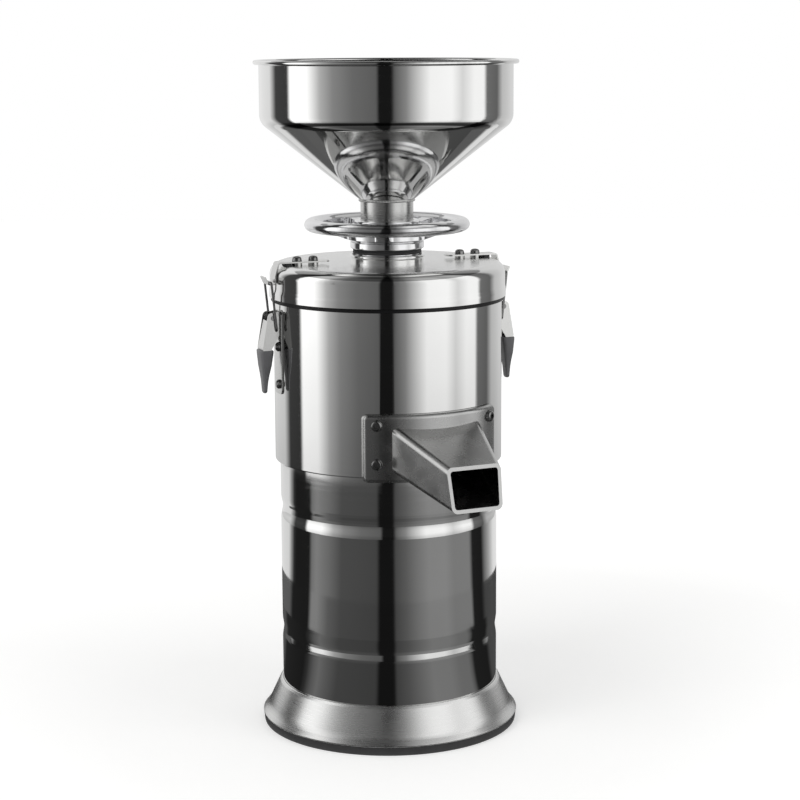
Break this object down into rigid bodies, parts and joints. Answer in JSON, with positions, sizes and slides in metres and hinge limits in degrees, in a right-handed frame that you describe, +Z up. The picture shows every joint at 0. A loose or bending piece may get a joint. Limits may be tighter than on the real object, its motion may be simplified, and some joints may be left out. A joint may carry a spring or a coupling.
{
  "type": "nut butter grinder",
  "caption": "Upright nut butter grinder with a lift-off hopper, a handwheel that sets the grinding gap, a latched lid, a side spout, a grooved motor barrel and a flared rubber-footed base.",
  "frame": {"origin": "on the machine's axis, at the underside of the rubber foot ring", "axes": "+Z up along the motor's axis; the front is -Y; the spout points 25 degrees to the right of the front, towards +X; the switch and the cord gland are at the back, +Y"},
  "size_m": [0.2746, 0.3375, 0.7035],
  "materials": {
    "polished_stainless": "mirror-polished stainless steel sheet",
    "chromed_casting": "chrome-plated casting",
    "satin_stainless": "satin stainless steel",
    "cast_stainless": "bead-blasted cast stainless steel",
    "cast_aluminium": "satin cast aluminium",
    "motor_aluminium": "raw die-cast aluminium",
    "black_rubber": "moulded black rubber",
    "dark_silicone": "moulded dark food silicone",
    "screw_steel": "machined stainless steel",
    "zinc_steel": "zinc-plated steel sheet",
    "shaft_steel": "ground steel",
    "lamination_steel": "stacked electrical steel laminations",
    "enamelled_copper": "enamelled copper winding",
    "fan_plastic": "black glass-filled nylon",
    "terminal_plastic": "ivory moulded plastic",
    "capacitor_plastic": "grey moulded plastic can",
    "switch_plastic": "glossy black moulded plastic",
    "gland_plastic": "black moulded nylon"
  },
  "bodies": {
    "stand": {"foot_ring": "black_rubber", "base_flare": "cast_aluminium", "bottom_plate": "zinc_steel", "base_screws": "screw_steel", "motor_casing": "polished_stainless", "grinding_barrel": "polished_stainless", "chamber_floor": "cast_aluminium", "shaft_seal": "dark_silicone", "chute": "cast_stainless", "chute_gasket": "dark_silicone", "chute_screws": "screw_steel", "upper_end_bracket": "motor_aluminium", "lower_end_bracket": "motor_aluminium", "upper_bearing": "shaft_steel", "lower_bearing": "shaft_steel", "stator_core": "lamination_steel", "stator_windings": "enamelled_copper", "tie_bolts": "screw_steel", "run_capacitor": "capacitor_plastic", "capacitor_cup": "fan_plastic", "terminal_block": "terminal_plastic", "lid_gasket": "dark_silicone", "latch_bases": "satin_stainless", "latch_screws": "screw_steel", "latch_pins": "screw_steel", "switch_bezel": "switch_plastic", "cord_gland": "gland_plastic", "gland_nut": "gland_plastic"},
    "rotor": {"motor_shaft": "shaft_steel", "rotor_core": "lamination_steel", "cooling_fan": "fan_plastic", "disc_carrier": "cast_stainless", "lower_grinding_disc": "cast_stainless", "disc_nut": "screw_steel"},
    "lid_group": {"lid": "polished_stainless", "lid_plate": "cast_aluminium", "lid_collar": "polished_stainless", "latch_keepers": "satin_stainless", "keeper_screws": "screw_steel", "keeper_spacers": "zinc_steel", "keeper_pads": "black_rubber"},
    "feed_sleeve": {"adjusting_sleeve": "cast_stainless", "upper_grinding_disc": "cast_stainless", "disc_screws": "screw_steel"},
    "wheel": {"handwheel": "chromed_casting", "wheel_seal": "black_rubber"},
    "hopper": {"hopper_bowl": "polished_stainless", "hopper_neck": "polished_stainless"},
    "left_lever": {"left_latch_lever": "satin_stainless"},
    "left_bail": {"left_latch_bail": "screw_steel"},
    "right_lever": {"right_latch_lever": "satin_stainless"},
    "right_bail": {"right_latch_bail": "screw_steel"},
    "rocker": {"rocker_switch": "switch_plastic"}
  },
  "joints": [
    {"name": "motor_spin", "type": "hinge", "parent": "stand", "child": "rotor", "pos_m": [0, 0, 0.3], "axis": [0, 0, 1], "continuous": true},
    {"name": "lid_lift", "type": "slide", "parent": "stand", "child": "lid_group", "axis": [0, 0, 1], "range_m": [0, 0.12]},
    {"name": "handwheel_turn", "type": "hinge", "parent": "feed_sleeve", "child": "wheel", "pos_m": [0, 0, 0.52], "axis": [0, 0, 1], "range_deg": [-72, 288]},
    {"name": "grind_gap", "type": "slide", "parent": "lid_group", "child": "feed_sleeve", "axis": [0, 0, 1], "range_m": [-0.0008, 0.0032]},
    {"name": "hopper_lift", "type": "slide", "parent": "feed_sleeve", "child": "hopper", "axis": [0, 0, 1], "range_m": [0, 0.1]},
    {"name": "left_lever_swing", "type": "hinge", "parent": "stand", "child": "left_lever", "pos_m": [-0.12028, -0.04378, 0.442], "axis": [-0.342, 0.9397, 0], "range_deg": [0, 90]},
    {"name": "left_bail_swing", "type": "hinge", "parent": "left_lever", "child": "left_bail", "pos_m": [-0.11774, -0.04285, 0.429], "axis": [-0.342, 0.9397, 0], "range_deg": [-68.4, 0]},
    {"name": "right_lever_swing", "type": "hinge", "parent": "stand", "child": "right_lever", "pos_m": [0.12028, 0.04378, 0.442], "axis": [0.342, -0.9397, 0], "range_deg": [0, 90]},
    {"name": "right_bail_swing", "type": "hinge", "parent": "right_lever", "child": "right_bail", "pos_m": [0.11774, 0.04285, 0.429], "axis": [0.342, -0.9397, 0], "range_deg": [-68.4, 0]},
    {"name": "rocker_tilt", "type": "hinge", "parent": "stand", "child": "rocker", "pos_m": [0, 0.111, 0.165], "axis": [-1, 0, 0], "range_deg": [-16, 0]}
  ],
  "couplings": [
    {"joint": "grind_gap", "follows": "handwheel_turn", "m_per_rad": 0.00063662},
    {"joint": "left_bail_swing", "follows": "left_lever_swing", "ratio": -0.76},
    {"joint": "right_bail_swing", "follows": "right_lever_swing", "ratio": -0.76}
  ]
}
